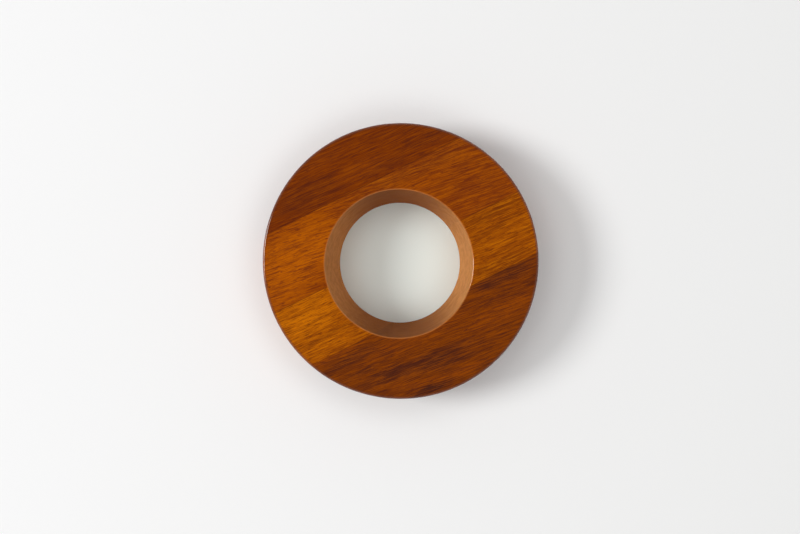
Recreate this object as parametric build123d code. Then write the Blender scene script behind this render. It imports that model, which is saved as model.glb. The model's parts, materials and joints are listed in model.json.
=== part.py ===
"""Wooden toss ring, turned from a blank of four edge-glued hardwood boards.

The ring is a flat, thick annulus with softened edges. Its bore rises from a short
straight land at the foot and flares to a wide mouth at the top face. It sits slightly
off the rim's centre, as on a hand-turned piece. The glue lines run straight across the
blank, and the bore parts the middle board in two, which leaves five separate staves.

Frame: +Z up, origin at the rim's centre on the foot plane, +Y towards the back stave.
Lengths are in millimetres and angles in degrees.
"""

from build123d import *

import os
from math import cos, radians, sin

# Turned ring
OUTER_DIAMETER = 100.0
THICKNESS = 25.0
RIM_ROUND = 0.8  # radius of both outer edges

# Flared bore
MOUTH_DIAMETER = 53.6  # at the top face, before its edge is rounded
THROAT_DIAMETER = 45.2  # of the straight land at the foot
LAND_HEIGHT = 3.0
MOUTH_ROUND = 0.5
FOOT_ROUND = 0.4
BORE_OFFSET_X = -0.6
BORE_OFFSET_Y = -0.9

# Glued blank. u runs along the grain, v across it towards the back.
GRAIN_ANGLE = 26.5  # from +X to the grain, anticlockwise seen from above
MIDDLE_JOINT_V = 3.5  # glue line between the bridge board and the middle board
BRIDGE_BOARD_WIDTH = 26.7
MIDDLE_BOARD_WIDTH = 22.9
SAW_ALLOWANCE = 5.0  # by which the blank stands past the ring all round

# Worked out from the sizes above
BLANK_REACH = OUTER_DIAMETER / 2 + SAW_ALLOWANCE
BACK_JOINT_V = MIDDLE_JOINT_V + BRIDGE_BOARD_WIDTH
FRONT_JOINT_V = MIDDLE_JOINT_V - MIDDLE_BOARD_WIDTH
BORE_U = BORE_OFFSET_X * cos(radians(GRAIN_ANGLE)) + BORE_OFFSET_Y * sin(radians(GRAIN_ANGLE))


def bore_cutter():
    """The land and the flare of the bore as one solid of revolution on the bore's axis."""
    throat = THROAT_DIAMETER / 2
    mouth = MOUTH_DIAMETER / 2
    outline = Polyline(
        (0, 0),
        (throat, 0),
        (throat, LAND_HEIGHT),
        (mouth, THICKNESS),
        (0, THICKNESS),
        close=True,
    )
    profile = make_face(Plane.XZ * outline)
    return Pos(BORE_OFFSET_X, BORE_OFFSET_Y, 0) * revolve(profile, Axis.Z)


def turned_ring():
    """The whole ring as it leaves the lathe, not yet parted along its glue lines."""
    disc = Pos(0, 0, THICKNESS / 2) * Cylinder(OUTER_DIAMETER / 2, THICKNESS)
    disc = fillet(disc.edges().filter_by(GeomType.CIRCLE), RIM_ROUND)
    ring = disc - bore_cutter()
    top_face = ring.faces().sort_by(Axis.Z)[-1]
    ring = fillet(top_face.inner_wires().edges(), MOUTH_ROUND)
    foot_face = ring.faces().sort_by(Axis.Z)[0]
    return fillet(foot_face.inner_wires().edges(), FOOT_ROUND)


def blank_zone(u_low, u_high, v_low, v_high):
    """The block of the glued blank between two limits along and two across the grain."""
    middle = Pos((u_low + u_high) / 2, (v_low + v_high) / 2, THICKNESS / 2)
    block = Box(u_high - u_low, v_high - v_low, THICKNESS + 2 * SAW_ALLOWANCE)
    return Rot(0, 0, GRAIN_ANGLE) * middle * block


def stave_zones():
    """Each stave's name with its limits along and across the grain."""
    full = (-BLANK_REACH, BLANK_REACH)
    return {
        "back_stave": (*full, BACK_JOINT_V, BLANK_REACH),
        "bridge_stave": (*full, MIDDLE_JOINT_V, BACK_JOINT_V),
        "middle_stave_left": (-BLANK_REACH, BORE_U, FRONT_JOINT_V, MIDDLE_JOINT_V),
        "middle_stave_right": (BORE_U, BLANK_REACH, FRONT_JOINT_V, MIDDLE_JOINT_V),
        "front_stave": (*full, -BLANK_REACH, FRONT_JOINT_V),
    }


def main():
    """Turns the ring, parts it into its staves and writes one STEP file for each."""
    os.makedirs("parts", exist_ok=True)
    ring = turned_ring()
    for name, limits in stave_zones().items():
        stave = ring & blank_zone(*limits)
        export_step(stave, f"parts/{name}.step")


if __name__ == "__main__":
    main()
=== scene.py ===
"""Looks of a wooden toss ring: five glued hardwood staves under clear gloss lacquer.

Each stave is cut by Geometry Nodes from one turned ring, so its shape follows the same
rule as the real work: turn the section round, set the bore off centre, then keep what
lies between two glue lines. Each board has its own finish of ground colour, heartwood
streaks, fibres, open pores and glue lines. The overall sizes and the bore's axis come from
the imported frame, and the smaller ones repeat the CAD's. Objects are in metres; the wood
groups and the streaks are in millimetres.
"""

import json
import logging
import math
from dataclasses import dataclass, field
from enum import Enum

import bpy
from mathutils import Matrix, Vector


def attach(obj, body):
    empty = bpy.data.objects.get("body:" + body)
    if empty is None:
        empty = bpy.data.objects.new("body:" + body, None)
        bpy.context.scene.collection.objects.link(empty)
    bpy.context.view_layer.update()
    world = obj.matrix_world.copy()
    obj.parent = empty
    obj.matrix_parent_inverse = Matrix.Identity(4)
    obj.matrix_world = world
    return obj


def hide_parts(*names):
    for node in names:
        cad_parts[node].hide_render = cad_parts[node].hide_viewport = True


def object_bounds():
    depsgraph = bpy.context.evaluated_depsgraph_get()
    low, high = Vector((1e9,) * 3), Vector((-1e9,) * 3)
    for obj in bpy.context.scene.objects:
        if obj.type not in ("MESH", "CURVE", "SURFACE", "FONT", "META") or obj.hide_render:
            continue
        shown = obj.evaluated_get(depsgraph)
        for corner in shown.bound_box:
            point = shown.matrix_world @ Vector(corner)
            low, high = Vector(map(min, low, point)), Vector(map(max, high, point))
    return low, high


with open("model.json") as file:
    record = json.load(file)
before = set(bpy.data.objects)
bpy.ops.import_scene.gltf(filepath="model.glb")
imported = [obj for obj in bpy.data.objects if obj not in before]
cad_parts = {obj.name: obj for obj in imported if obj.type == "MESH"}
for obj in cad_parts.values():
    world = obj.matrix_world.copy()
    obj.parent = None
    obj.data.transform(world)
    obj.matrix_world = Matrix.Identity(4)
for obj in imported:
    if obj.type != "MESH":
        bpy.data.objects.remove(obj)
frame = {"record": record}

LOG = logging.getLogger("toss_ring")
CAD_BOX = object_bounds()
MM = 0.001

Colour = tuple[float, float, float]
Socket = bpy.types.NodeSocket


def linear(red: int, green: int, blue: int) -> Colour:
    """Turn a display colour into the linear one that shaders take.

    Args:
        red: Display value of red, 0 to 255.
        green: Display value of green, 0 to 255.
        blue: Display value of blue, 0 to 255.

    Returns:
        The three linear values, 0 to 1.
    """
    def channel(value: int) -> float:
        """Undo the display curve for one channel."""
        share = value / 255
        return share / 12.92 if share <= 0.04045 else ((share + 0.055) / 1.055) ** 2.4

    return channel(red), channel(green), channel(blue)


class Board(Enum):
    """The four boards of the glued blank, by their material slot."""

    BACK = "back_board"
    BRIDGE = "bridge_board"
    MIDDLE = "middle_board"
    FRONT = "front_board"


class Tone(Enum):
    """What a streak of figure does to the wood under it."""

    DARK = "dark"
    RED = "red"
    GOLD = "gold"


@dataclass
class Bench:
    """A node tree being filled, with short ways to add and join nodes.

    Attributes:
        tree: The shader or geometry tree that gets the nodes.
    """

    tree: bpy.types.NodeTree

    def add(self, kind: str, inputs: dict | None = None, **settings: object) -> bpy.types.Node:
        """Add one node.

        Args:
            kind: The node's type name.
            inputs: Value or source socket for each input, by name or number.
            settings: The node's own properties.

        Returns:
            The new node.
        """
        node = self.tree.nodes.new(kind)
        for name, value in settings.items():
            setattr(node, name, value)
        for key, value in (inputs or {}).items():
            self.feed(node, key, value)
        return node

    def feed(self, node: bpy.types.Node, key: str | int, value: object) -> None:
        """Link a socket to one input of a node, or give the input a plain value.

        Args:
            node: The node.
            key: The input's name or number.
            value: The source socket, or the value.
        """
        if isinstance(value, Socket):
            self.tree.links.new(value, node.inputs[key])
        else:
            node.inputs[key].default_value = value

    def math(self, operation: str, *values: object) -> Socket:
        """Work out one number from others and return its socket."""
        node = self.add("ShaderNodeMath", dict(enumerate(values)), operation=operation)
        return node.outputs[0]

    def vector(self, operation: str, *values: object) -> Socket:
        """Work out one vector from others and return its socket."""
        node = self.add("ShaderNodeVectorMath", dict(enumerate(values)), operation=operation)
        return node.outputs[0]

    def scaled(self, vector: object, scale: object) -> Socket:
        """Stretch a vector and return the result's socket."""
        return self.add("ShaderNodeVectorMath", {0: vector, "Scale": scale}, operation="SCALE").outputs[0]

    def part(self, vector: object, axis: int) -> Socket:
        """Return one part of a vector: 0 for X, 1 for Y, 2 for Z."""
        return self.add("ShaderNodeSeparateXYZ", {0: vector}).outputs[axis]

    def squared(self, value: Socket) -> Socket:
        """Multiply a number by itself and return the result's socket."""
        return self.math("MULTIPLY", value, value)

    def radius(self, vector: Socket) -> Socket:
        """Return a point's distance from the Z axis."""
        flat = self.vector("MULTIPLY", vector, (1, 1, 0))
        return self.add("ShaderNodeVectorMath", {0: flat}, operation="LENGTH").outputs["Value"]

    def noise(self, position: object, **inputs: object) -> bpy.types.NodeOutputs:
        """Add a noise texture and return its output sockets."""
        return self.add("ShaderNodeTexNoise", {"Vector": position, **inputs}).outputs

    def ramp(
        self, value: Socket, start: object, end: object, low: object = 0.0, high: object = 1.0
    ) -> Socket:
        """Carry a number smoothly from one range to another.

        Args:
            value: The number.
            start: Where the result is low.
            end: Where the result is high.
            low: The result at start and beyond it.
            high: The result at end and beyond it.

        Returns:
            The result's socket.
        """
        inputs = {0: value, 1: start, 2: end, 3: low, 4: high}
        return self.add("ShaderNodeMapRange", inputs, interpolation_type="SMOOTHSTEP").outputs[0]

    def mix(self, factor: object, under: object, over: object) -> Socket:
        """Lay one colour over another and return the result's socket."""
        return self.add("ShaderNodeMix", {0: factor, 6: under, 7: over}, data_type="RGBA").outputs[2]

    def tint(self, mask: Socket, strength: float, under: object, over: Colour) -> Socket:
        """Lay a plain colour over another where a mask says, at one strength."""
        return self.mix(self.math("MULTIPLY", mask, strength), under, (*over, 1.0))

    def arrange(self, spacing: float = 220.0, rows: int = 6) -> None:
        """Place the nodes in columns in the order that they were made."""
        for number, node in enumerate(self.tree.nodes):
            node.location = (number // rows * spacing, -(number % rows) * spacing)


def bench_for(owner: bpy.types.Material | bpy.types.World) -> Bench:
    """Clear the nodes of a material or a world and return a bench for them."""
    owner.use_nodes = True
    owner.node_tree.nodes.clear()
    return Bench(owner.node_tree)


def new_object(name: str, data: bpy.types.ID) -> bpy.types.Object:
    """Make an object from its data, at the origin, and add it to the scene."""
    made = bpy.data.objects.new(name, data)
    bpy.context.scene.collection.objects.link(made)
    return made


def socket_of(tree: bpy.types.NodeTree, name: str, way: str, kind: str, value: object = None) -> None:
    """Give a node group one named socket.

    Args:
        tree: The group.
        name: The socket's name.
        way: INPUT or OUTPUT.
        kind: The short type: Float, Vector, Color, Int, Geometry or Material.
        value: The default value, if it has one.
    """
    made = tree.interface.new_socket(name=name, in_out=way, socket_type=f"NodeSocket{kind}")
    if value is not None:
        made.default_value = value


class WoodGroup:
    """A shader effect that all four boards share, kept as one node group."""

    title = ""
    inputs: tuple[tuple[str, str, object], ...] = ()
    output = ("Mask", "Float")

    def __init__(self) -> None:
        """Make the group with its sockets and fill it."""
        self.tree = bpy.data.node_groups.new(self.title, "ShaderNodeTree")
        for name, kind, value in self.inputs:
            socket_of(self.tree, name, "INPUT", kind, value)
        socket_of(self.tree, self.output[0], "OUTPUT", self.output[1])
        bench = Bench(self.tree)
        given = bench.add("NodeGroupInput").outputs
        bench.add("NodeGroupOutput", {0: self.fill(bench, given)})
        bench.arrange()

    def fill(self, bench: Bench, given: bpy.types.NodeOutputs) -> Socket:
        """Build the effect.

        Args:
            bench: The group's bench.
            given: The group's input sockets.

        Returns:
            The socket that leaves the group.
        """
        raise NotImplementedError

    def place(self, bench: Bench, **values: object) -> Socket:
        """Put the group into a material.

        Args:
            bench: The material's bench.
            values: Input values or sockets, with _ for each space in a name.

        Returns:
            The group's output socket in the material.
        """
        inputs = {name.replace("_", " "): value for name, value in values.items()}
        return bench.add("ShaderNodeGroup", inputs, node_tree=self.tree).outputs[0]


class Wander(WoodGroup):
    """Bends straight grain into the slow waves of a real board."""

    title = "Wandering grain"
    inputs = (
        ("Position", "Vector", (0, 0, 0)),
        ("Reach", "Float", 1.0),
        ("Wave length", "Float", 20.0),
    )
    output = ("Bent position", "Vector")

    def fill(self, bench: Bench, given: bpy.types.NodeOutputs) -> Socket:
        """Shift each point by a slow noise, twice as far along the grain as across it."""
        scale = bench.math("DIVIDE", 1.0, given["Wave length"])
        noise = bench.noise(given["Position"], Scale=scale, Detail=3.0, Roughness=0.55)["Color"]
        centred = bench.vector("SUBTRACT", noise, (0.5, 0.5, 0.5))
        longer = bench.vector("MULTIPLY", centred, (2.0, 1.0, 1.0))
        return bench.vector("ADD", given["Position"], bench.scaled(longer, given["Reach"]))


def drawn_out(bench: Bench, given: bpy.types.NodeOutputs) -> Socket:
    """Squeeze a group's position by its Length along X and by its Width across."""
    size = bench.add("ShaderNodeCombineXYZ", {0: given["Length"], 1: given["Width"], 2: given["Width"]})
    return bench.vector("DIVIDE", given["Position"], size.outputs[0])


class Fibre(WoodGroup):
    """Noise drawn out along the grain, from broad bands to fine fibres."""

    title = "Drawn-out grain"
    inputs = (
        ("Position", "Vector", (0, 0, 0)),
        ("Length", "Float", 30.0),
        ("Width", "Float", 2.0),
        ("Detail", "Float", 4.0),
    )
    output = ("Value", "Float")

    def fill(self, bench: Bench, given: bpy.types.NodeOutputs) -> Socket:
        """Squeeze the noise's space so that its lumps run along X."""
        squeezed = drawn_out(bench, given)
        return bench.noise(squeezed, Scale=1.0, Detail=given["Detail"], Roughness=0.6)[0]


class StreakMask(WoodGroup):
    """One soft-ended streak of figure, as deep as the board."""

    title = "Figure streak"
    inputs = (
        ("Position", "Vector", (0, 0, 0)),
        ("Along", "Float", 0.0),
        ("Across", "Float", 0.0),
        ("Half length", "Float", 10.0),
        ("Half width", "Float", 2.0),
        ("Slope", "Float", 0.0),
    )
    FULL_AT = 0.3
    FADED_AT = 1.35

    def fill(self, bench: Bench, given: bpy.types.NodeOutputs) -> Socket:
        """Fade out from a long ellipse's middle, in shares of its half sizes."""
        along = bench.math("SUBTRACT", bench.part(given["Position"], 0), given["Along"])
        lean = bench.math("MULTIPLY", along, given["Slope"])
        aside = bench.math("SUBTRACT", bench.part(given["Position"], 1), given["Across"])
        across = bench.math("SUBTRACT", aside, lean)
        far = bench.squared(bench.math("DIVIDE", along, given["Half length"]))
        wide = bench.squared(bench.math("DIVIDE", across, given["Half width"]))
        depth = bench.math("SQRT", bench.math("ADD", far, wide))
        return bench.ramp(depth, self.FADED_AT, self.FULL_AT)


class Pores(WoodGroup):
    """Open pores: short dark dashes along the grain, dots where the grain ends."""

    title = "Open pores"
    inputs = (
        ("Position", "Vector", (0, 0, 0)),
        ("Length", "Float", 3.0),
        ("Width", "Float", 0.35),
        ("Amount", "Float", 0.3),
    )
    FEWEST = 0.78
    SPREAD = 0.4
    SOFTNESS = 0.06

    def fill(self, bench: Bench, given: bpy.types.NodeOutputs) -> Socket:
        """Keep the peaks of a fine noise: those above FEWEST at no amount, SPREAD lower at one."""
        fine = bench.noise(drawn_out(bench, given), Scale=1.0, Detail=1.0)[0]
        limit = bench.math("SUBTRACT", self.FEWEST, bench.math("MULTIPLY", given["Amount"], self.SPREAD))
        return bench.ramp(fine, limit, bench.math("ADD", limit, self.SOFTNESS))


class GlueLine(WoodGroup):
    """The hairline where two boards meet."""

    title = "Glue line"
    inputs = (
        ("Position", "Vector", (0, 0, 0)),
        ("Across", "Float", 0.0),
        ("Width", "Float", 0.3),
    )

    def fill(self, bench: Bench, given: bpy.types.NodeOutputs) -> Socket:
        """Fade out with the distance from the joint."""
        aside = bench.math("SUBTRACT", bench.part(given["Position"], 1), given["Across"])
        return bench.ramp(bench.math("ABSOLUTE", aside), given["Width"], 0.0)


class EdgeBand(WoodGroup):
    """A ring-shaped band along a turned edge, which carries the painted highlight round the mouth and the
    painted shade round the rim.
    """

    title = "Edge band"
    inputs = (
        ("Position", "Vector", (0, 0, 0)),
        ("Centre", "Vector", (0, 0, 0)),
        ("Radius", "Float", 26.8),
        ("Height", "Float", 25.0),
        ("Width", "Float", 0.6),
    )

    def fill(self, bench: Bench, given: bpy.types.NodeOutputs) -> Socket:
        """Fade out with the distance from the edge's circle."""
        from_centre = bench.vector("SUBTRACT", given["Position"], given["Centre"])
        out = bench.squared(bench.math("SUBTRACT", bench.radius(from_centre), given["Radius"]))
        up = bench.squared(bench.math("SUBTRACT", bench.part(from_centre, 2), given["Height"]))
        gap = bench.math("SQRT", bench.math("ADD", out, up))
        noise = bench.noise(from_centre, Scale=0.25, Detail=2.0)[0]
        uneven = bench.ramp(noise, start=0.2, end=0.6, low=0.55)
        return bench.math("MULTIPLY", bench.ramp(gap, given["Width"], 0.0), uneven)


class BoreWall(WoodGroup):
    """Tells the wall of the bore, which takes less lacquer, from the open faces."""

    title = "Bore wall"
    inputs = (
        ("Position", "Vector", (0, 0, 0)),
        ("Centre", "Vector", (0, 0, 0)),
        ("Radius", "Float", 26.8),
        ("Edge", "Float", 0.5),
    )

    def fill(self, bench: Bench, given: bpy.types.NodeOutputs) -> Socket:
        """Return one inside the mouth's radius and zero outside it."""
        radius = bench.radius(bench.vector("SUBTRACT", given["Position"], given["Centre"]))
        inner = bench.math("SUBTRACT", given["Radius"], given["Edge"])
        return bench.ramp(radius, given["Radius"], inner)


@dataclass(frozen=True)
class Streak:
    """One streak of figure in a board, in millimetres along and across the grain.

    Attributes:
        along: Where its middle lies along the grain.
        across: Where its middle lies across the grain, towards the back.
        half_length: Half its length.
        half_width: Half its width.
        tone: What it does to the colour.
        strength: How much, from 0 to 1.
        slope: Rise across the grain for each step along it.
    """

    along: float
    across: float
    half_length: float
    half_width: float
    tone: Tone
    strength: float
    slope: float = 0.0


@dataclass
class WoodEffects:
    """The shared groups, built once."""

    wander: Wander = field(default_factory=Wander)
    fibre: Fibre = field(default_factory=Fibre)
    streak: StreakMask = field(default_factory=StreakMask)
    pores: Pores = field(default_factory=Pores)
    glue: GlueLine = field(default_factory=GlueLine)
    edge_band: EdgeBand = field(default_factory=EdgeBand)
    bore: BoreWall = field(default_factory=BoreWall)


@dataclass(frozen=True)
class TurnedShape:
    """Sizes of the turned ring and of the blank it is turned from.

    Attributes:
        outer_radius: Radius of the rim.
        thickness: Height of the ring.
        bore_centre: Where the bore's axis stands.
        throat_radius: Radius of the straight land at the foot.
        mouth_radius: Radius of the flare at the top face.
        land_height: Height of the straight land.
        rim_round: Radius of both outer edges.
        mouth_round: Radius of the edge round the mouth.
        foot_round: Radius of the edge round the foot of the bore.
        land_blend: Radius where the flare meets the land.
        grain_angle: From +X to the grain, in radians.
        joints_mm: The three glue lines across the grain, from front to back.
        segments: Steps round the ring.
    """

    outer_radius: float
    thickness: float
    bore_centre: Vector
    throat_radius: float
    mouth_radius: float = 26.8 * MM
    land_height: float = 3.0 * MM
    rim_round: float = 0.8 * MM
    mouth_round: float = 0.5 * MM
    foot_round: float = 0.4 * MM
    land_blend: float = 2.0 * MM
    grain_angle: float = math.radians(26.5)
    joints_mm: tuple[float, float, float] = (-19.4, 3.5, 30.2)
    segments: int = 288

    @classmethod
    def from_frame(cls) -> "TurnedShape":
        """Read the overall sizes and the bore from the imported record."""
        low, high = CAD_BOX
        mounts = {mount["name"]: mount for mount in frame["record"]["mounts"]}
        bore = mounts["bore"]
        middle = Vector((bore["pos_m"][0], bore["pos_m"][1], 0.0))
        return cls(
            outer_radius=max(high[0] - low[0], high[1] - low[1]) / 2,
            thickness=high[2] - low[2],
            bore_centre=middle,
            throat_radius=bore["dims"]["r_mm"] * MM,
        )


@dataclass(frozen=True)
class Stain:
    """A colour that lies over part of every board.

    Attributes:
        colour: The colour.
        strength: How much of it shows, from 0 to 1.
        width_mm: How far it fades out.
    """

    colour: Colour
    strength: float
    width_mm: float


GLUE = Stain(linear(70, 30, 8), strength=0.45, width_mm=0.28)
# Painted highlight: a paler line along the rounded edge of the mouth.
MOUTH_HIGHLIGHT = Stain(linear(206, 122, 48), strength=0.5, width_mm=0.5)
# Painted shade: a darker line along the rounded edge of the rim.
RIM_SHADE = Stain(linear(92, 48, 26), strength=0.65, width_mm=1.1)
BORE_TONE = Stain(linear(120, 67, 18), strength=0.6, width_mm=0.4)
# Painted light on the wall of the bore, which makes it paler at its left and right.
PAINTED_WALL_LIGHT = linear(206, 140, 76)


@dataclass(frozen=True)
class Lacquer:
    """The clear gloss coat and the wood's surface under it.

    Attributes:
        roughness: Roughness of the coat.
        ior: Index of refraction of the coat.
        in_bore: How much of the coat is left on the wall of the bore.
        pore_roughness: Roughness of the wood in its pores.
        thread_roughness: Roughness of the wood on its threads.
        relief: How strongly the fibres show in the surface.
        depth: Depth of the fibres.
    """

    roughness: float = 0.09
    ior: float = 1.5
    in_bore: float = 0.12
    pore_roughness: float = 0.62
    thread_roughness: float = 0.5
    relief: float = 0.25
    depth: float = 0.04 * MM

    def coat(self, bench: Bench, colour: Socket, height: Socket, bore: Socket) -> None:
        """Close a board's material with its shader.

        Args:
            bench: The material's bench.
            colour: The wood's colour.
            height: The height of its surface.
            bore: One on the wall of the bore.
        """
        relief = {"Strength": self.relief, "Distance": self.depth, "Height": height}
        shader = bench.add("ShaderNodeBsdfPrincipled", {
            "Base Color": colour,
            "Roughness": bench.ramp(height, 0.2, 0.8, self.pore_roughness, self.thread_roughness),
            "Specular IOR Level": 0.0,
            "Coat Weight": bench.add("ShaderNodeMapRange", {0: bore, 3: 1.0, 4: self.in_bore}).outputs[0],
            "Coat Roughness": self.roughness,
            "Coat IOR": self.ior,
            "Normal": bench.add("ShaderNodeBump", relief).outputs[0],
        })
        bench.add("ShaderNodeOutputMaterial", {"Surface": shader.outputs[0]})
        bench.arrange()


@dataclass(frozen=True)
class WoodPlace:
    """Where a point of the wood lies, in millimetres.

    Attributes:
        plain: In the part's own frame.
        turned: With X along the glue lines.
        grain: Along the fibres, gently bent.
        figure: Along the glue lines, bent for the figure.
    """

    plain: Socket
    turned: Socket
    grain: Socket
    figure: Socket


@dataclass(frozen=True)
class BoardFinish:
    """Colour and figure of one board under its lacquer.

    Attributes:
        board: The board it belongs to.
        ground: Colour between the streaks.
        dark: Colour of heartwood streaks and pores.
        red: Colour of reddish streaks.
        gold: Colour of light streaks.
        streaks: The figure, laid on in order.
        pore_amount: How many pores show, from 0 to 1.
        shift: Moves the noises, so that no two boards share one.
        lean: How far the fibres climb across the board for each step along it.
        nicks: Small dents that have filled with dirt.
    """

    board: Board
    ground: Colour
    dark: Colour
    red: Colour
    gold: Colour
    streaks: tuple[Streak, ...]
    pore_amount: float
    shift: tuple[float, float, float]
    lean: float = 0.0
    nicks: tuple[Streak, ...] = ()

    REDDER = 0.8
    MORE_GOLDEN = 1.08
    PORE_STRENGTH = 0.65

    def tone_colour(self, tone: Tone) -> tuple[float, float, float, float]:
        """Return the colour that a tone stands for on this board."""
        return (*{Tone.DARK: self.dark, Tone.RED: self.red, Tone.GOLD: self.gold}[tone], 1.0)

    def thread_colour(self, tone: Tone, green: float) -> tuple[float, float, float, float]:
        """Return a tone's colour for fibres, redder or more golden than the figure."""
        red, under, blue, alpha = self.tone_colour(tone)
        return (red, under * green, blue, alpha)

    def material(self, effects: WoodEffects, shape: TurnedShape) -> bpy.types.Material:
        """Build the board's material.

        Args:
            effects: The shared groups.
            shape: The turned ring's sizes.

        Returns:
            The material, named after its slot.
        """
        made = bpy.data.materials.new(self.board.value)
        bench = bench_for(made)
        place = self.placed(bench, effects, shape)
        colour = self.streaked(bench, effects, place)
        colour, height = self.fibred(bench, effects, place, colour)
        colour = self.nicked(bench, effects, place, colour)
        colour = self.edged(bench, effects, shape, place, colour)
        colour, bore = self.walled(bench, effects, shape, place, colour)
        Lacquer().coat(bench, colour, height, bore)
        return made

    def placed(self, bench: Bench, effects: WoodEffects, shape: TurnedShape) -> WoodPlace:
        """Work out where a point lies in the board.

        Args:
            bench: The material's bench.
            effects: The shared groups.
            shape: The turned ring's sizes.

        Returns:
            The point's place in each of the ways that the finish needs.
        """
        place = bench.add("ShaderNodeTexCoord").outputs["Object"]
        in_mm = {"Vector": place, "Scale": (1 / MM,) * 3}
        plain = bench.add("ShaderNodeMapping", in_mm).outputs[0]
        along = {**in_mm, "Rotation": (0, 0, -shape.grain_angle)}
        turned = bench.add("ShaderNodeMapping", along).outputs[0]
        lean = {"Vector": turned, "Rotation": (0, 0, -math.atan(self.lean)), "Location": self.shift}
        leaning = bench.add("ShaderNodeMapping", lean).outputs[0]
        return WoodPlace(
            plain=plain,
            turned=turned,
            grain=effects.wander.place(bench, Position=leaning, Reach=1.6, Wave_length=24.0),
            figure=effects.wander.place(bench, Position=turned, Reach=4.0, Wave_length=13.0),
        )

    @staticmethod
    def mask_of(streak: Streak, bench: Bench, effects: WoodEffects, position: Socket) -> Socket:
        """Place one streak's mask.

        Args:
            streak: The streak.
            bench: The material's bench.
            effects: The shared groups.
            position: Position along the grain.

        Returns:
            The mask's socket.
        """
        return effects.streak.place(
            bench,
            Position=position,
            Along=streak.along,
            Across=streak.across,
            Half_length=streak.half_length,
            Half_width=streak.half_width,
            Slope=streak.slope,
        )

    def streaked(self, bench: Bench, effects: WoodEffects, place: WoodPlace) -> Socket:
        """Lay the board's ragged streaks over its ground and return the colour."""
        colour: object = (*self.ground, 1.0)
        noise = effects.fibre.place(bench, Position=place.figure, Length=9.0, Width=0.8)
        ragged = bench.ramp(noise, start=0.3, end=0.62, low=0.35, high=1.15)
        for streak in self.streaks:
            mask = self.mask_of(streak, bench, effects, place.figure)
            share = bench.math("MULTIPLY", bench.math("MULTIPLY", mask, ragged), streak.strength)
            colour = bench.mix(share, colour, self.tone_colour(streak.tone))
        return colour

    def fibred(
        self, bench: Bench, effects: WoodEffects, place: WoodPlace, colour: Socket
    ) -> tuple[Socket, Socket]:
        """Draw bands, fibres and pores over the figure.

        Args:
            bench: The material's bench.
            effects: The shared groups.
            place: The point's place in the board.
            colour: The colour so far.

        Returns:
            The new colour, and the height of the surface for its bump.
        """
        grain = place.grain
        bands = effects.fibre.place(bench, Position=grain, Length=26.0, Width=1.4, Detail=3.0)
        threads = effects.fibre.place(bench, Position=grain, Length=8.0, Width=0.3, Detail=3.0)
        mottle = effects.fibre.place(bench, Position=grain, Length=2.6, Width=0.9, Detail=4.0)
        pores = effects.pores.place(bench, Position=grain, Length=2.8, Width=0.32, Amount=self.pore_amount)
        dark = self.thread_colour(Tone.DARK, self.REDDER)
        gold = self.thread_colour(Tone.GOLD, self.MORE_GOLDEN)
        layers = (
            # noise, value where it starts, value where it is full, strength there, colour
            (bands, 0.52, 0.32, 0.3, dark),
            (bands, 0.5, 0.7, 0.25, gold),
            (mottle, 0.52, 0.32, 0.2, dark),
            (threads, 0.52, 0.34, 0.6, dark),
            (threads, 0.48, 0.66, 0.4, gold),
        )
        for noise, start, full, strength, over in layers:
            colour = bench.mix(bench.ramp(noise, start, full, 0.0, strength), colour, over)
        colour = bench.mix(bench.math("MULTIPLY", pores, self.PORE_STRENGTH), colour, dark)
        return colour, bench.math("SUBTRACT", threads, pores)

    def nicked(self, bench: Bench, effects: WoodEffects, place: WoodPlace, colour: Socket) -> Socket:
        """Add the board's small dirty dents and return the colour."""
        for nick in self.nicks:
            spot = self.mask_of(nick, bench, effects, place.turned)
            share = bench.math("MULTIPLY", spot, nick.strength)
            colour = bench.mix(share, colour, self.tone_colour(nick.tone))
        return colour

    @staticmethod
    def edged(
        bench: Bench, effects: WoodEffects, shape: TurnedShape, place: WoodPlace, colour: Socket
    ) -> Socket:
        """Draw the glue lines, the painted highlight round the mouth and the painted shade round the rim.

        Args:
            bench: The material's bench.
            effects: The shared groups.
            shape: The turned ring's sizes.
            place: The point's place in the board.
            colour: The colour so far.

        Returns:
            The new colour.
        """
        for joint in shape.joints_mm:
            line = effects.glue.place(bench, Position=place.turned, Across=joint, Width=GLUE.width_mm)
            colour = bench.tint(line, GLUE.strength, colour, GLUE.colour)
        # Painted highlight round the mouth and painted shade round the rim, each as a band on its rounded
        # edge.
        inset = 0.3
        mouth = shape.mouth_radius + inset * shape.mouth_round
        rim = shape.outer_radius - inset * shape.rim_round
        for stain, centre, radius in ((MOUTH_HIGHLIGHT, shape.bore_centre, mouth), (RIM_SHADE, (0, 0, 0), rim)):
            band = effects.edge_band.place(
                bench,
                Position=place.plain,
                Centre=tuple(value / MM for value in centre),
                Radius=radius / MM,
                Height=shape.thickness / MM,
                Width=stain.width_mm,
            )
            colour = bench.tint(band, stain.strength, colour, stain.colour)
        return colour

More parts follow.
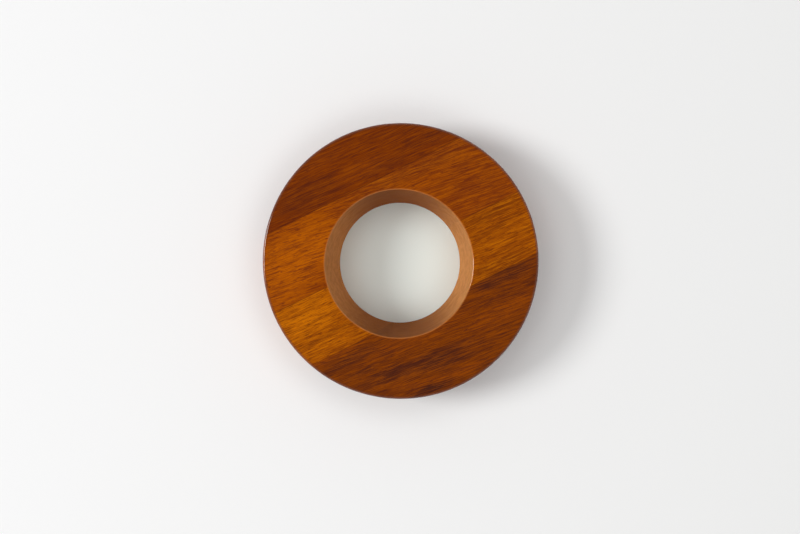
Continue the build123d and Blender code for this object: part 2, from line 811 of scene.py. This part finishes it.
    @staticmethod
    def walled(
        bench: Bench, effects: WoodEffects, shape: TurnedShape, place: WoodPlace, colour: Socket
    ) -> tuple[Socket, Socket]:
        """Give the wall of the bore its own tone, with painted light that makes it paler at its left and
        right.

        Args:
            bench: The material's bench.
            effects: The shared groups.
            shape: The turned ring's sizes.
            place: The point's place in the board.
            colour: The colour so far.

        Returns:
            The new colour, and a mask that is one on the wall of the bore.
        """
        centre = tuple(value / MM for value in shape.bore_centre)
        mouth = (shape.mouth_radius + 0.6 * shape.mouth_round) / MM
        bore = effects.bore.place(
            bench, Position=place.plain, Centre=centre, Radius=mouth, Edge=BORE_TONE.width_mm
        )
        colour = bench.tint(bore, BORE_TONE.strength, colour, BORE_TONE.colour)
        # Painted light: the wall of the bore is paler towards its left and right, where the key light and
        # the bounce light fall on it.
        outward = bench.vector("SUBTRACT", place.plain, centre)
        sideways = bench.math("DIVIDE", bench.part(outward, 0), mouth)
        side_light = bench.ramp(bench.squared(sideways), start=0.0, end=0.8, low=0.2, high=0.95)
        noise = effects.fibre.place(bench, Position=place.grain, Length=12.0, Width=2.2, Detail=4.0)
        cloudy = bench.ramp(noise, start=0.35, end=0.65, low=0.8, high=1.1)
        wall_light = bench.math("MULTIPLY", bore, bench.math("MULTIPLY", side_light, cloudy))
        return bench.mix(wall_light, colour, (*PAINTED_WALL_LIGHT, 1.0)), bore


class StaveTree:
    """The Geometry Nodes rule that cuts one stave from the turned ring."""

    SIZES = (
        ("Outer Radius", "Float"),
        ("Thickness", "Float"),
        ("Throat Radius", "Float"),
        ("Mouth Radius", "Float"),
        ("Land Height", "Float"),
        ("Rim Round", "Float"),
        ("Mouth Round", "Float"),
        ("Foot Round", "Float"),
        ("Land Blend", "Float"),
        ("Bore Centre", "Vector"),
        ("Grain Angle", "Float"),
        ("Board Middle", "Vector"),
        ("Board Size", "Vector"),
        ("Segments", "Int"),
        ("Material", "Material"),
    )
    ROUND_STEPS = 7
    SHARP_ANGLE = math.radians(35)
    FLAT_NORMAL = 0.9995

    def __init__(self) -> None:
        """Build the tree once for all five staves."""
        self.tree = bpy.data.node_groups.new("Stave of a turned ring", "GeometryNodeTree")
        for name, kind in self.SIZES:
            socket_of(self.tree, name, "INPUT", kind)
        socket_of(self.tree, "Geometry", "OUTPUT", "Geometry")
        self.bench = Bench(self.tree)
        self.given = self.bench.add("NodeGroupInput").outputs
        ring = self.off_centre(self.turned(self.section()))
        stave = self.bench.add("GeometryNodeMeshBoolean", operation="INTERSECT", solver="EXACT")
        for solid in (ring, self.board_block()):
            self.bench.feed(stave, "Mesh 2", solid)
        smooth = self.shaded(stave.outputs["Mesh"])
        real = self.bench.add("GeometryNodeRealizeInstances", {0: smooth}).outputs[0]
        dressed = self.bench.add("GeometryNodeSetMaterial", {0: real, "Material": self.given["Material"]})
        self.bench.add("NodeGroupOutput", {0: dressed.outputs[0]})
        self.bench.arrange()

    def point(self, radius: object, height: object) -> Socket:
        """Make a point of the section, whose Y axis points down once it is turned."""
        inward = self.bench.math("SUBTRACT", radius, self.given["Outer Radius"])
        down = self.bench.math("MULTIPLY", height, -1.0)
        return self.bench.add("ShaderNodeCombineXYZ", {0: inward, 1: down}).outputs[0]

    def choose(self, kind: str, options: tuple[object, ...]) -> Socket:
        """Pick an option by the point's number round the section.

        Args:
            kind: VECTOR or FLOAT.
            options: One value or socket for each corner.

        Returns:
            The chosen value's socket.
        """
        node = self.bench.add("GeometryNodeIndexSwitch", data_type=kind)
        while len(node.index_switch_items) < len(options):
            node.index_switch_items.new()
        index = self.bench.add("GeometryNodeInputIndex").outputs[0]
        for number, option in enumerate((index, *options)):
            self.bench.feed(node, number, option)
        return node.outputs[0]

    def section(self) -> Socket:
        """Draw the ring's section with its rounded corners."""
        given = self.given
        corners = (
            self.point(given["Outer Radius"], 0.0),
            self.point(given["Outer Radius"], given["Thickness"]),
            self.point(given["Mouth Radius"], given["Thickness"]),
            self.point(given["Throat Radius"], given["Land Height"]),
            self.point(given["Throat Radius"], 0.0),
        )
        names = ("Rim Round", "Rim Round", "Mouth Round", "Land Blend", "Foot Round")
        rounds = tuple(given[name] for name in names)
        line = self.bench.add("GeometryNodeMeshLine", {"Count": len(corners)}).outputs[0]
        places = {0: line, "Position": self.choose("VECTOR", corners)}
        outline = self.bench.add("GeometryNodeSetPosition", places).outputs[0]
        curve = self.bench.add("GeometryNodeMeshToCurve", {0: outline}).outputs[0]
        closed = self.bench.add("GeometryNodeSetSplineCyclic", {0: curve, "Cyclic": True}).outputs[0]
        rounding = {0: closed, "Radius": self.choose("FLOAT", rounds), "Count": self.ROUND_STEPS}
        return self.bench.add("GeometryNodeFilletCurve", rounding, mode="POLY").outputs[0]

    def turned(self, section: Socket) -> Socket:
        """Turn the section round the axis."""
        sizes = {"Resolution": self.given["Segments"], "Radius": self.given["Outer Radius"]}
        path = self.bench.add("GeometryNodeCurvePrimitiveCircle", sizes).outputs[0]
        return self.bench.add("GeometryNodeCurveToMesh", {0: path, 1: section}).outputs[0]

    def off_centre(self, ring: Socket) -> Socket:
        """Set the bore on its own axis, with the rim left where it is."""
        bench, given = self.bench, self.given
        radius = bench.radius(bench.add("GeometryNodeInputPosition").outputs[0])
        inner = bench.math("ADD", given["Mouth Radius"], given["Mouth Round"])
        outer = bench.math("SUBTRACT", given["Outer Radius"], given["Rim Round"])
        share = bench.add("ShaderNodeMapRange", {0: radius, 1: inner, 2: outer, 3: 1.0, 4: 0.0}).outputs[0]
        offset = bench.scaled(given["Bore Centre"], share)
        return bench.add("GeometryNodeSetPosition", {0: ring, "Offset": offset}).outputs[0]

    def board_block(self) -> Socket:
        """Make the part of the blank that this stave is cut from."""
        bench, given = self.bench, self.given
        block = bench.add("GeometryNodeMeshCube", {"Size": given["Board Size"]}).outputs[0]
        centred = {0: block, "Translation": given["Board Middle"]}
        placed = bench.add("GeometryNodeTransform", centred).outputs[0]
        angle = bench.add("ShaderNodeCombineXYZ", {2: given["Grain Angle"]}).outputs[0]
        return bench.add("GeometryNodeTransform", {0: placed, "Rotation": angle}).outputs[0]

    def shaded(self, stave: Socket) -> Socket:
        """Shade the rounds and walls smooth, the flat faces flat and the joints sharp."""
        bench = self.bench
        upright = bench.math("ABSOLUTE", bench.part(bench.add("GeometryNodeInputNormal").outputs[0], 2))
        angle = bench.add("GeometryNodeInputMeshEdgeAngle").outputs[0]
        for domain, value, limit in (("FACE", upright, self.FLAT_NORMAL), ("EDGE", angle, self.SHARP_ANGLE)):
            soft = bench.add("FunctionNodeCompare", {0: value, 1: limit}, operation="LESS_THAN").outputs[0]
            shading = {0: stave, "Shade Smooth": soft}
            stave = bench.add("GeometryNodeSetShadeSmooth", shading, domain=domain).outputs[0]
        return stave

    def cut(self, name: str, values: dict[str, object]) -> bpy.types.Object:
        """Cut one stave as a plain mesh.

        Args:
            name: The piece's name.
            values: A value for each named input of the tree.

        Returns:
            The finished object, at the origin.
        """
        piece = new_object(name, bpy.data.meshes.new(name))
        rule = piece.modifiers.new("Stave", "NODES")
        rule.node_group = self.tree
        sockets = (item for item in self.tree.interface.items_tree if item.in_out == "INPUT")
        for socket in sockets:
            rule[socket.identifier] = values[socket.name]
        piece.update_tag()
        ready = piece.evaluated_get(bpy.context.evaluated_depsgraph_get())
        mesh = bpy.data.meshes.new_from_object(ready)
        mesh.name = name
        piece.modifiers.remove(rule)
        piece.data = mesh
        return piece


@dataclass
class GluedRing:
    """The five staves, cut and dressed.

    Attributes:
        shape: The turned ring's sizes.
        finishes: The finish of each board.
        allowance: How far the blank stands past the ring.
    """

    shape: TurnedShape
    finishes: dict[Board, BoardFinish]
    allowance: float = 5 * MM

    def zones(self) -> dict[str, tuple[Board, float, float, float, float]]:
        """Return each stave's board and its limits along and across the grain."""
        shape = self.shape
        reach = shape.outer_radius + self.allowance
        front, middle, back = (value * MM for value in shape.joints_mm)
        angle = shape.grain_angle
        parting = shape.bore_centre.x * math.cos(angle) + shape.bore_centre.y * math.sin(angle)
        return {
            "back_stave": (Board.BACK, -reach, reach, back, reach),
            "bridge_stave": (Board.BRIDGE, -reach, reach, middle, back),
            "middle_stave_left": (Board.MIDDLE, -reach, parting, front, middle),
            "middle_stave_right": (Board.MIDDLE, parting, reach, front, middle),
            "front_stave": (Board.FRONT, -reach, reach, -reach, front),
        }

    def build(self) -> None:
        """Cut, dress and place every stave."""
        shape = self.shape
        tree = StaveTree()
        effects = WoodEffects()
        materials = {board: finish.material(effects, shape) for board, finish in self.finishes.items()}
        for node, (board, u_low, u_high, v_low, v_high) in self.zones().items():
            piece = tree.cut(f"{node}_lacquered", {
                "Outer Radius": shape.outer_radius,
                "Thickness": shape.thickness,
                "Throat Radius": shape.throat_radius,
                "Mouth Radius": shape.mouth_radius,
                "Land Height": shape.land_height,
                "Rim Round": shape.rim_round,
                "Mouth Round": shape.mouth_round,
                "Foot Round": shape.foot_round,
                "Land Blend": shape.land_blend,
                "Bore Centre": shape.bore_centre,
                "Grain Angle": shape.grain_angle,
                "Board Middle": ((u_low + u_high) / 2, (v_low + v_high) / 2, shape.thickness / 2),
                "Board Size": (u_high - u_low, v_high - v_low, shape.thickness + 2 * self.allowance),
                "Segments": shape.segments,
                "Material": materials[board],
            })
            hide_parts(node)
            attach(piece, "root")
            LOG.info("%s: %d faces, slot %s", piece.name, len(piece.data.polygons), board.value)


def board_finishes() -> dict[Board, BoardFinish]:
    """Return the finish of each board."""
    dark, red, gold = Tone.DARK, Tone.RED, Tone.GOLD
    back = BoardFinish(
        board=Board.BACK,
        ground=linear(119, 49, 3),
        dark=linear(74, 31, 16),
        red=linear(112, 42, 3),
        gold=linear(150, 70, 4),
        streaks=(
            Streak(-33, 31, 12, 3, red, 0.6),
            Streak(-20, 36, 15, 6, dark, 0.35),
            Streak(2, 36, 11, 3.5, gold, 0.45),
            Streak(10, 33, 10, 2, dark, 0.3),
            Streak(-10, 45, 10, 2.5, gold, 0.3),
            Streak(30, 36, 12, 3, dark, 0.25),
        ),
        pore_amount=0.25,
        shift=(31, 7, 3),
        lean=-0.06,
    )
    bridge = BoardFinish(
        board=Board.BRIDGE,
        ground=linear(141, 63, 2),
        dark=linear(96, 40, 14),
        red=linear(126, 52, 2),
        gold=linear(187, 95, 3),
        streaks=(
            Streak(-32, 18, 24, 11, gold, 0.75),
            Streak(-44, 8, 10, 6, gold, 0.5),
            Streak(-30, 5, 8, 3, red, 0.5),
            Streak(18, 29, 30, 5, dark, 0.6),
            Streak(14, 20, 8, 4, gold, 0.3),
            Streak(38, 18, 18, 14, dark, 0.3),
            Streak(36, 4.5, 10, 1.4, dark, 0.35),
        ),
        pore_amount=0.4,
        shift=(-12, 40, 8),
        lean=-0.12,
        nicks=(
            Streak(-47.3, 13.9, 0.7, 0.45, dark, 0.9),
            Streak(-46.7, 12.6, 0.45, 0.35, dark, 0.8),
            Streak(-47.0, 15.4, 0.4, 0.3, dark, 0.7),
        ),
    )
    middle = BoardFinish(
        board=Board.MIDDLE,
        ground=linear(152, 74, 2),
        dark=linear(100, 46, 6),
        red=linear(134, 58, 2),
        gold=linear(204, 112, 4),
        streaks=(
            Streak(-40, -3, 18, 8, gold, 0.75),
            Streak(-37, -15, 16, 4, gold, 0.3),
            Streak(-36, -5.5, 14, 0.6, dark, 0.3),
            Streak(-34, -12.5, 15, 0.8, dark, 0.4),
            Streak(38, 1.5, 14, 2.5, dark, 0.35),
            Streak(34, -4, 12, 0.7, dark, 0.35),
            Streak(40, -9, 13, 3, gold, 0.12),
            Streak(30, -17, 14, 3, dark, 0.4),
        ),
        pore_amount=0.45,
        shift=(5, -23, 17),
        lean=-0.05,
    )
    front = BoardFinish(
        board=Board.FRONT,
        ground=linear(113, 50, 4),
        dark=linear(64, 30, 20),
        red=linear(106, 42, 4),
        gold=linear(159, 74, 3),
        streaks=(
            Streak(-38, -20, 16, 1.6, gold, 0.5),
            Streak(-8, -27, 24, 3.5, gold, 0.3),
            Streak(-30, -24, 13, 2.2, dark, 0.55),
            Streak(32, -21, 13, 3.2, dark, 0.6),
            Streak(-31, -30, 8, 1.4, dark, 0.45),
            Streak(28, -33, 18, 4, gold, 0.3),
            Streak(-12, -36.5, 24, 3.2, dark, 0.75, -0.08),
            Streak(-14, -42, 13, 1.8, gold, 0.35, -0.2),
            Streak(4, -45.5, 10, 1.5, gold, 0.4, -0.1),
            Streak(2, -41, 9, 1.6, dark, 0.6, -0.1),
            Streak(-12, -46.5, 10, 2.2, dark, 1.0),
        ),
        pore_amount=0.3,
        shift=(19, 28, -9),
        lean=-0.11,
    )
    return {finish.board: finish for finish in (back, bridge, middle, front)}


@dataclass
class Studio:
    """Camera, key light, surroundings and pale floor.

    Attributes:
        ring: The turned ring's sizes, which the camera is set from.
        camera_height: Height of the camera above the floor.
        camera_shift: How far the camera stands off the ring's axis.
        aim: The point of the top face that the camera looks at.
        lens: Focal length in millimetres.
        sensor_width: Width of the camera's sensor in millimetres.
        nearest: The nearest distance that the camera sees.
        key_strength: Irradiance of the key light.
        key_elevation: Its height above the horizon, in degrees.
        key_azimuth: Its direction from +X, in degrees.
        key_width: Its apparent width, in degrees.
        wall_top: Where the walls give way to the ceiling, as heights on a round sky of radius 1.
        dark_start: Where the ceiling gives way to its dark middle, as such heights.
        backdrop_top: Where the pale backdrop ends, as such heights.
        wall_level: Radiance of the room's walls.
        ceiling_level: Radiance of the ceiling round the camera.
        dark_level: Radiance of the dark middle of the ceiling.
        backdrop_level: Radiance of the pale backdrop, where it is seen or mirrored.
        floor_painted_light: Colour of the floor on the side of the key light, paler there as painted light.
        floor_far_side: Colour of the floor on the other side.
        floor_painted_shade: Colour of the floor that shows through the ring, darker and less red there as
            painted shade.
        floor_fade: How far from the middle the first two are reached.
        hole_edge: Where the last one ends, in shares of the ring's radius.
        floor_reach: Half the floor's width.
    """

    ring: TurnedShape
    camera_height: float = 0.595
    camera_shift: tuple[float, float] = (0.0089, 0.0076)
    aim: tuple[float, float] = (-0.00017, -0.0021)
    lens: float = 70.9
    sensor_width: float = 36.0
    nearest: float = 0.01
    key_strength: float = 1.6
    key_elevation: float = 43.0
    key_azimuth: float = 176.0
    key_width: float = 20.0
    wall_top: tuple[float, float] = (0.78, 0.88)
    dark_start: tuple[float, float] = (0.955, 0.975)
    backdrop_top: tuple[float, float] = (0.8, 0.93)
    wall_level: float = 0.3
    ceiling_level: float = 2.05
    dark_level: float = 0.03
    backdrop_level: float = 0.85
    floor_painted_light: Colour = (0.9, 0.9, 0.9)
    floor_far_side: Colour = (0.8, 0.8, 0.795)
    floor_painted_shade: Colour = (0.71, 0.78, 0.75)
    floor_fade: float = 0.15
    hole_edge: tuple[float, float] = (0.65, 0.75)
    floor_reach: float = 6.0

    def build(self) -> None:
        """Put up the whole studio."""
        self.add_camera()
        self.add_key()
        self.add_sky()
        self.add_floor()
        bpy.context.scene.view_settings.view_transform = "Standard"
        LOG.info("studio: camera %.3f m up", self.camera_height)

    def add_camera(self) -> None:
        """Hang the camera over the ring, with +Y up in its view."""
        data = bpy.data.cameras.new("camera")
        data.lens = self.lens
        data.sensor_width = self.sensor_width
        data.clip_start = self.nearest
        camera = new_object("camera", data)
        stand = Vector((*self.camera_shift, self.camera_height))
        target = Vector((*self.aim, self.ring.thickness))
        back = (stand - target).normalized()
        right = Vector((0, 1, 0)).cross(back).normalized()
        up = back.cross(right)
        turn = camera.matrix_world.to_3x3()
        turn.col[0], turn.col[1], turn.col[2] = right, up, back
        camera.matrix_world = turn.to_4x4()
        camera.location = stand
        bpy.context.scene.camera = camera

    def add_key(self) -> None:
        """Light the ring from its left with one broad soft lamp."""
        data = bpy.data.lights.new("key", "SUN")
        data.energy = self.key_strength
        data.angle = math.radians(self.key_width)
        key = new_object("key", data)
        elevation, azimuth = math.radians(self.key_elevation), math.radians(self.key_azimuth)
        level = math.cos(elevation)
        source = Vector((level * math.cos(azimuth), level * math.sin(azimuth), math.sin(elevation)))
        key.rotation_euler = source.to_track_quat("Z", "Y").to_euler()

    def add_sky(self) -> None:
        """Light the ring from a ceiling that is dark in its middle, before a pale backdrop."""
        world = bpy.data.worlds.new("pale room")
        bpy.context.scene.world = world
        bench = bench_for(world)
        height = bench.part(bench.add("ShaderNodeTexCoord").outputs["Generated"], 2)
        walls = bench.ramp(height, *self.wall_top, self.wall_level, self.ceiling_level)
        light = bench.ramp(height, *self.dark_start, walls, self.dark_level)
        backdrop = bench.ramp(height, *self.backdrop_top, self.backdrop_level, self.dark_level)
        path = bench.add("ShaderNodeLightPath").outputs
        mirrored = bench.math("MAXIMUM", path["Is Glossy Ray"], path["Is Transmission Ray"])
        seen = bench.math("MAXIMUM", path["Is Camera Ray"], mirrored)
        level = bench.add("ShaderNodeMapRange", {0: seen, 3: light, 4: backdrop}).outputs[0]
        sky = bench.add("ShaderNodeBackground", {"Color": (1, 1, 1, 1), "Strength": level})
        bench.add("ShaderNodeOutputWorld", {0: sky.outputs[0]})
        bench.arrange()

    def add_floor(self) -> None:
        """Lay a large pale matt floor at the ring's foot, with painted light and painted shade in its
        colour.
        """
        mesh = bpy.data.meshes.new("floor")
        reach = self.floor_reach
        low = CAD_BOX[0][2]
        corners = [(-reach, -reach, low), (reach, -reach, low), (reach, reach, low), (-reach, reach, low)]
        mesh.from_pydata(corners, [], [(0, 1, 2, 3)])
        floor = new_object("floor", mesh)
        paper = bpy.data.materials.new("floor paper")
        bench = bench_for(paper)
        place = bench.add("ShaderNodeTexCoord").outputs["Object"]
        # Painted light: the floor is paler on the key light's side than on the other.
        across = {0: bench.part(place, 0), 1: -self.floor_fade, 2: self.floor_fade}
        side = bench.add("ShaderNodeMapRange", across).outputs[0]
        colour = bench.mix(side, (*self.floor_painted_light, 1.0), (*self.floor_far_side, 1.0))
        # Painted shade: the floor that shows through the ring is darker and less red.
        inner, outer = (share * self.ring.outer_radius for share in self.hole_edge)
        hole = bench.ramp(bench.radius(place), inner, outer, 1.0, 0.0)
        colour = bench.mix(hole, colour, (*self.floor_painted_shade, 1.0))
        matt = {"Base Color": colour, "Roughness": 0.9, "Specular IOR Level": 0.0}
        shader = bench.add("ShaderNodeBsdfPrincipled", matt)
        bench.add("ShaderNodeOutputMaterial", {"Surface": shader.outputs[0]})
        bench.arrange()
        mesh.materials.append(paper)


def main() -> None:
    """Build the ring and its studio."""
    logging.basicConfig(level=logging.INFO, format="%(name)s: %(message)s")
    shape = TurnedShape.from_frame()
    GluedRing(shape, board_finishes()).build()
    Studio(shape).build()


if __name__ == "__main__":
    main()
